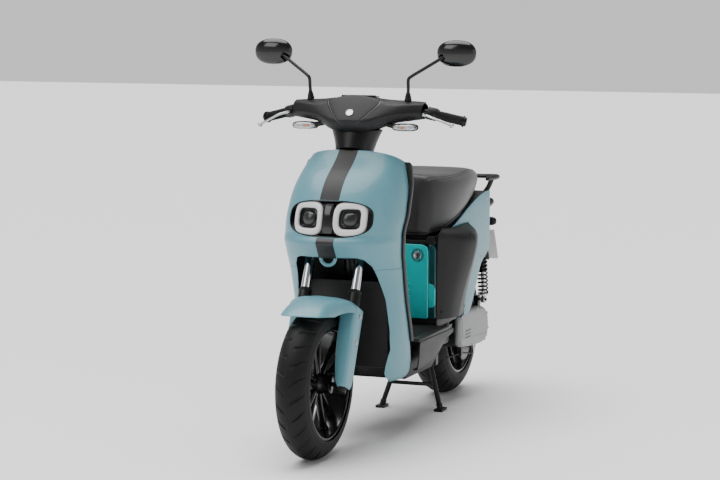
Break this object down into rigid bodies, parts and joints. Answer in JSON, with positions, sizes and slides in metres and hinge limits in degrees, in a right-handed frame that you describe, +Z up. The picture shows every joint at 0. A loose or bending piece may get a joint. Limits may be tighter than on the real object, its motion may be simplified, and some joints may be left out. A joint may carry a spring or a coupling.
{
  "type": "moped scooter",
  "caption": "Upright step-through electric moped scooter with raked telescopic fork, tall front cover with a round-cornered headlight, padded seat, side drive unit, mirrors and centre stand",
  "frame": {"origin": "on the ground, midway between the front of the front tyre and the back of the number plate, on the centre plane", "axes": "+Z up, front of the scooter towards -Y, rider's left towards +X"},
  "size_m": [0.774, 1.8739, 1.318],
  "materials": {
    "body_paint": "satin",
    "dark_trim": "matte",
    "gloss_black": "gloss",
    "teal_panel": "gloss",
    "seat_cover": "matte",
    "frame_paint": "satin",
    "black_paint": "gloss",
    "tyre": "matte",
    "rubber": "matte",
    "chrome": "polished",
    "alloy": "satin",
    "silver_paint": "satin",
    "steel": "brushed",
    "clear_lens": "gloss",
    "red_lens": "gloss",
    "plate_white": "satin",
    "display_glass": "gloss",
    "grey_plastic": "matte"
  },
  "bodies": {
    "chassis": {"main_frame": "frame_paint", "front_cover": "body_paint", "headlight_housing": "gloss_black", "lower_front_covers": "body_paint", "leg_shield": "dark_trim", "wheel_well": "dark_trim", "floorboard": "dark_trim", "belly_pan": "dark_trim", "side_skirts": "dark_trim", "side_panels": "dark_trim", "tail_covers": "body_paint", "front_panel": "teal_panel", "battery_pack": "grey_plastic", "storage_box": "dark_trim", "rear_fender": "dark_trim", "licence_plate": "plate_white", "rear_signals": "clear_lens", "tail_light": "red_lens", "grab_rail": "frame_paint"},
    "seat": {"seat_cushion": "seat_cover", "seat_pan": "dark_trim"},
    "steering": {"steering_stem": "frame_paint", "fork_stanchions": "chrome", "handlebar": "frame_paint", "left_grip": "rubber", "switch_housings": "dark_trim", "bar_cover": "dark_trim", "visor": "dark_trim", "meter": "display_glass", "front_signals": "clear_lens", "neck_cover": "dark_trim"},
    "throttle": {"throttle_grip": "rubber"},
    "lever_left": {"brake_lever_left": "alloy"},
    "lever_right": {"brake_lever_right": "alloy"},
    "horn": {"horn_button": "grey_plastic"},
    "signal": {"signal_switch": "grey_plastic"},
    "mirror_arm_l": {"mirror_arm_left": "frame_paint"},
    "mirror_arm_r": {"mirror_arm_right": "frame_paint"},
    "mirror_l": {"mirror_left": "dark_trim"},
    "mirror_r": {"mirror_right": "dark_trim"},
    "fork": {"fork_legs": "frame_paint", "brake_caliper": "alloy", "front_fender": "body_paint"},
    "front_wheel": {"front_tyre": "tyre", "front_rim": "black_paint", "brake_disc": "steel"},
    "swing": {"swing_unit": "frame_paint", "drive_cover": "silver_paint", "drive_belt": "rubber", "brake_cable": "rubber"},
    "rear_wheel": {"rear_tyre": "tyre", "rear_rim": "black_paint"},
    "rotor": {"motor_rotor": "steel"},
    "brake_cam": {"brake_arm": "steel"},
    "shock_low": {"shock_rods": "steel"},
    "shock_up": {"shock_bodies": "frame_paint", "shock_springs": "steel"},
    "stand": {"centre_stand": "frame_paint"},
    "ignition": {"ignition_lock": "steel"},
    "lock": {"seat_lock": "steel"}
  },
  "joints": [
    {"name": "steering_turn", "type": "hinge", "parent": "chassis", "child": "steering", "pos_m": [0, -0.41889, 0.77554], "axis": [0, 0.4147, 0.91], "range_deg": [-38, 38]},
    {"name": "fork_slide", "type": "slide", "parent": "steering", "child": "fork", "axis": [0, 0.4147, 0.91], "range_m": [0, 0.078], "stiffness_N_per_m": 9000, "springref_m": -0.075},
    {"name": "front_wheel_spin", "type": "hinge", "parent": "fork", "child": "front_wheel", "pos_m": [0, -0.695, 0.242], "axis": [1, 0, 0], "continuous": true},
    {"name": "swing_pivot", "type": "hinge", "parent": "chassis", "child": "swing", "pos_m": [0, 0.3, 0.25], "axis": [1, 0, 0], "range_deg": [0, 14], "stiffness_Nm_per_rad": 1800, "springref_deg": -11.46},
    {"name": "rear_wheel_spin", "type": "hinge", "parent": "swing", "child": "rear_wheel", "pos_m": [0, 0.61, 0.256], "axis": [1, 0, 0], "continuous": true},
    {"name": "rotor_spin", "type": "hinge", "parent": "swing", "child": "rotor", "pos_m": [0.09, 0.425, 0.268], "axis": [1, 0, 0], "continuous": true},
    {"name": "brake_arm_pivot", "type": "hinge", "parent": "swing", "child": "brake_cam", "pos_m": [0.1, 0.64, 0.185], "axis": [1, 0, 0], "range_deg": [-1, 21]},
    {"name": "shock_foot_pivot", "type": "hinge", "parent": "swing", "child": "shock_low", "pos_m": [0, 0.622, 0.352], "axis": [1, 0, 0], "range_deg": [-23, 1]},
    {"name": "shock_slide", "type": "slide", "parent": "shock_low", "child": "shock_up", "axis": [0, -0.1333, 0.9911], "range_m": [-0.078, 0.001], "deforming": ["shock_springs"]},
    {"name": "seat_hinge", "type": "hinge", "parent": "chassis", "child": "seat", "pos_m": [0, 0.048, 0.64], "axis": [1, 0, 0], "range_deg": [0, 72]},
    {"name": "throttle_turn", "type": "hinge", "parent": "steering", "child": "throttle", "pos_m": [-0.28177, -0.28104, 1.07051], "axis": [-0.9462, 0.2327, -0.2249], "range_deg": [0, 70], "stiffness_Nm_per_rad": 0.15},
    {"name": "brake_lever_left_pull", "type": "hinge", "parent": "steering", "child": "lever_left", "pos_m": [0.238, -0.346, 1.078], "axis": [0.3, 0, 0.9539], "range_deg": [0, 20], "stiffness_Nm_per_rad": 1.5, "springref_deg": -5.73},
    {"name": "brake_lever_right_pull", "type": "hinge", "parent": "steering", "child": "lever_right", "pos_m": [-0.238, -0.346, 1.078], "axis": [0.3, 0, -0.9539], "range_deg": [0, 20], "stiffness_Nm_per_rad": 1.5, "springref_deg": -5.73},
    {"name": "horn_press", "type": "slide", "parent": "steering", "child": "horn", "axis": [0, -1, 0], "range_m": [0, 0.003], "stiffness_N_per_m": 400, "springref_m": -0.001},
    {"name": "signal_slide", "type": "slide", "parent": "steering", "child": "signal", "axis": [1, 0, 0], "range_m": [-0.0035, 0.0035]},
    {"name": "mirror_left_swivel", "type": "hinge", "parent": "steering", "child": "mirror_arm_l", "pos_m": [0.17, -0.311, 1.13], "axis": [0, 0, 1], "range_deg": [-30, 30]},
    {"name": "mirror_right_swivel", "type": "hinge", "parent": "steering", "child": "mirror_arm_r", "pos_m": [-0.17, -0.311, 1.13], "axis": [0, 0, 1], "range_deg": [-30, 30]},
    {"name": "mirror_left_tilt", "type": "hinge", "parent": "mirror_arm_l", "child": "mirror_l", "pos_m": [0.285, -0.281, 1.266], "axis": [1, 0, 0], "range_deg": [-12, 12]},
    {"name": "mirror_right_tilt", "type": "hinge", "parent": "mirror_arm_r", "child": "mirror_r", "pos_m": [-0.285, -0.281, 1.266], "axis": [1, 0, 0], "range_deg": [-12, 12]},
    {"name": "stand_pivot", "type": "hinge", "parent": "chassis", "child": "stand", "pos_m": [0, 0.255, 0.172], "axis": [1, 0, 0], "range_deg": [0, 74]},
    {"name": "ignition_turn", "type": "hinge", "parent": "chassis", "child": "ignition", "pos_m": [-0.075, -0.336, 0.85], "axis": [0, 1, 0], "range_deg": [0, 90]},
    {"name": "seat_lock_turn", "type": "hinge", "parent": "chassis", "child": "lock", "pos_m": [0.087, 0.04, 0.575], "axis": [0, 1, 0], "range_deg": [0, 90]}
  ],
  "couplings": [
    {"joint": "rotor_spin", "follows": "rear_wheel_spin", "ratio": 2.3},
    {"joint": "shock_foot_pivot", "follows": "swing_pivot", "ratio": -1.6032},
    {"joint": "shock_slide", "follows": "swing_pivot", "m_per_rad": -0.31511},
    {"joint": "brake_arm_pivot", "follows": "brake_lever_left_pull", "ratio": 1}
  ]
}
